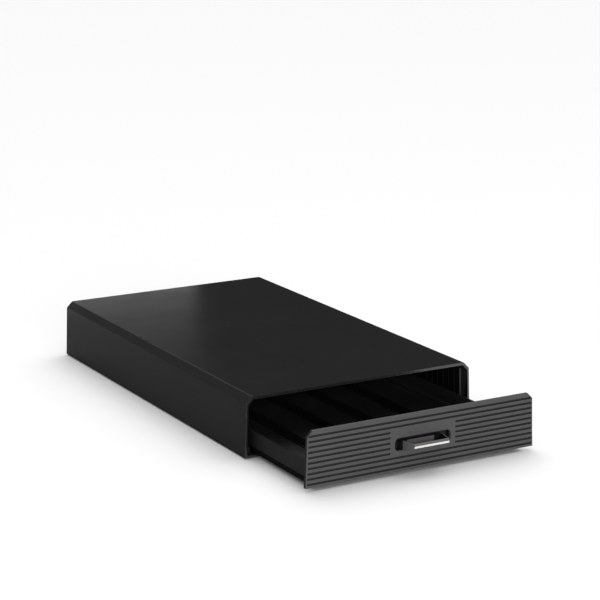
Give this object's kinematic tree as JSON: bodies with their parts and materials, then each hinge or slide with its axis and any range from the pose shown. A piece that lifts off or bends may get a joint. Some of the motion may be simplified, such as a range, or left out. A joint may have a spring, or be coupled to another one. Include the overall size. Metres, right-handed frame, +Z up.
{
  "type": "coffee pod drawer",
  "caption": "Low chamfered housing for a coffee machine to stand on, with a shallow pod drawer that slides out behind an inset ribbed front with a scoop pull.",
  "frame": {"origin": "centre of the whole footprint, with the drawer part open as drawn, on the surface it rests on", "axes": "+X to the right seen from the front, +Y from the front to the rear, +Z up; the drawer pulls out along -Y"},
  "size_m": [0.25, 0.537, 0.0595],
  "materials": {
    "shell_plastic": "fine satin moulded grain",
    "panel_plastic": "fine satin moulded grain",
    "tray_plastic": "satin",
    "cup_plastic": "matt",
    "pull_metal": "satin",
    "screw_steel": "zinc plated",
    "foot_rubber": "matt",
    "shoe_plastic": "smooth"
  },
  "bodies": {
    "housing": {"housing_shell": "shell_plastic", "base_plate": "shell_plastic", "guide_rail_left": "shell_plastic", "guide_rail_right": "shell_plastic", "base_screws": "screw_steel", "rail_screws": "screw_steel", "foot_front_left": "foot_rubber", "foot_front_right": "foot_rubber", "foot_rear_left": "foot_rubber", "foot_rear_right": "foot_rubber"},
    "drawer": {"drawer_tray": "tray_plastic", "front_panel": "panel_plastic", "panel_screws": "screw_steel", "handle_cup": "cup_plastic", "pull_handle": "pull_metal", "handle_screws": "screw_steel", "glide_shoe_left": "shoe_plastic", "glide_shoe_right": "shoe_plastic", "lane_divider_1": "tray_plastic", "lane_divider_2": "tray_plastic", "lane_divider_3": "tray_plastic", "lane_divider_4": "tray_plastic"}
  },
  "joints": [
    {"name": "drawer_slide", "type": "slide", "parent": "housing", "child": "drawer", "axis": [0, -1, 0], "range_m": [-0.107, 0.193]}
  ]
}
